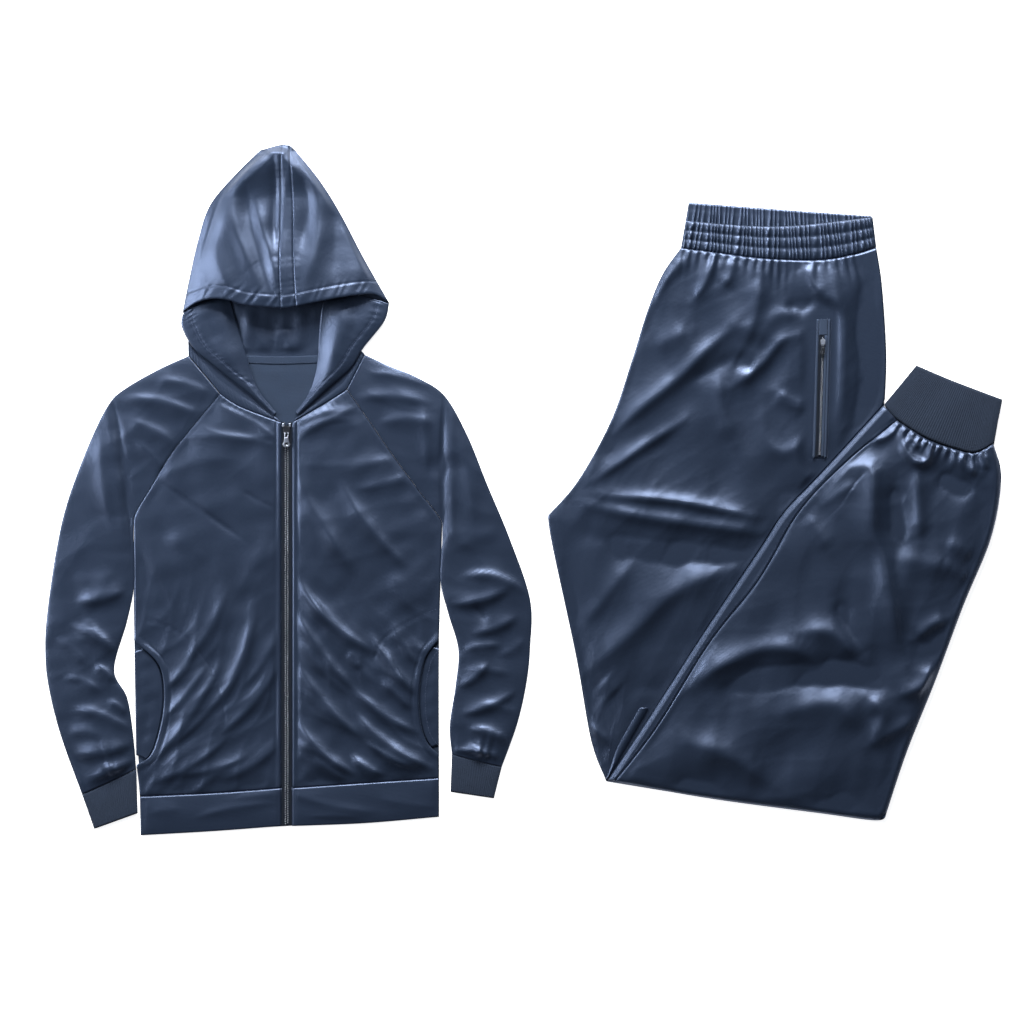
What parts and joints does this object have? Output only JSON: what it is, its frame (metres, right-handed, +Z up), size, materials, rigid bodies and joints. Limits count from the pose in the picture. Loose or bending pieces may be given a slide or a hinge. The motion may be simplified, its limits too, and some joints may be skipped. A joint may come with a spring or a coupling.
{
  "type": "sweatshirt and jogger set",
  "caption": "Hooded zip jacket with raglan sleeves laid flat beside joggers folded down the middle and up at the knee; the zip pulls turn on their sliders.",
  "frame": {"origin": "middle of the set's outline in plan, on the floor it lies on", "axes": "+Z up from the floor; +X from the jacket to the joggers; +Y towards the hood and the waistband"},
  "size_m": [1.3434, 0.9699, 0.024],
  "materials": {
    "satin_cloth": "satin warp knit with a soft bluish sheen",
    "matte_inside": "matte inside of the knit",
    "rib_knit": "matte fine rib",
    "zip_tape": "woven tape",
    "zip_metal": "dark polished metal"
  },
  "bodies": {
    "cloth": {"front_left": "satin_cloth", "front_right": "satin_cloth", "hem_band_left": "satin_cloth", "hem_band_right": "satin_cloth", "hem_band_back": "satin_cloth", "sleeve_left": "satin_cloth", "sleeve_right": "satin_cloth", "hood_side_left": "satin_cloth", "hood_side_right": "satin_cloth", "hood_crown_left": "satin_cloth", "hood_strip": "satin_cloth", "hood_crown_right": "satin_cloth", "hidden_layers": "satin_cloth", "leg_front": "satin_cloth", "side_band": "satin_cloth", "leg_folded": "satin_cloth", "under_leg_edge": "satin_cloth", "waistband_back": "satin_cloth", "waistband_front": "satin_cloth", "pocket_welt_left": "satin_cloth", "pocket_welt_right": "satin_cloth", "pocket_zip_flap": "satin_cloth", "pocket_top_patch": "satin_cloth", "jacket_back": "matte_inside", "hood_back": "matte_inside", "hood_foot_left": "matte_inside", "hood_foot_right": "matte_inside", "pocket_left": "matte_inside", "pocket_right": "matte_inside", "cuff_left": "rib_knit", "cuff_right": "rib_knit", "ankle_cuff": "rib_knit", "zip_tape_left": "zip_tape", "zip_tape_right": "zip_tape", "pocket_zip_tape": "zip_tape", "zip_chain": "zip_metal", "zip_slider": "zip_metal", "pocket_zip_chain": "zip_metal", "pocket_slider": "zip_metal"},
    "front_pull": {"zip_pull": "zip_metal"},
    "pocket_pull": {"pocket_pull": "zip_metal"}
  },
  "joints": [
    {"name": "front_pull_swing", "type": "hinge", "parent": "cloth", "child": "front_pull", "pos_m": [-0.3325, 0.079, 0.0081], "axis": [-1, 0, 0], "range_deg": [0, 170]},
    {"name": "pocket_pull_swing", "type": "hinge", "parent": "cloth", "child": "pocket_pull", "pos_m": [0.41952, 0.2032, 0.01744], "axis": [-0.9996, 0.0291, 0], "range_deg": [0, 170]}
  ]
}
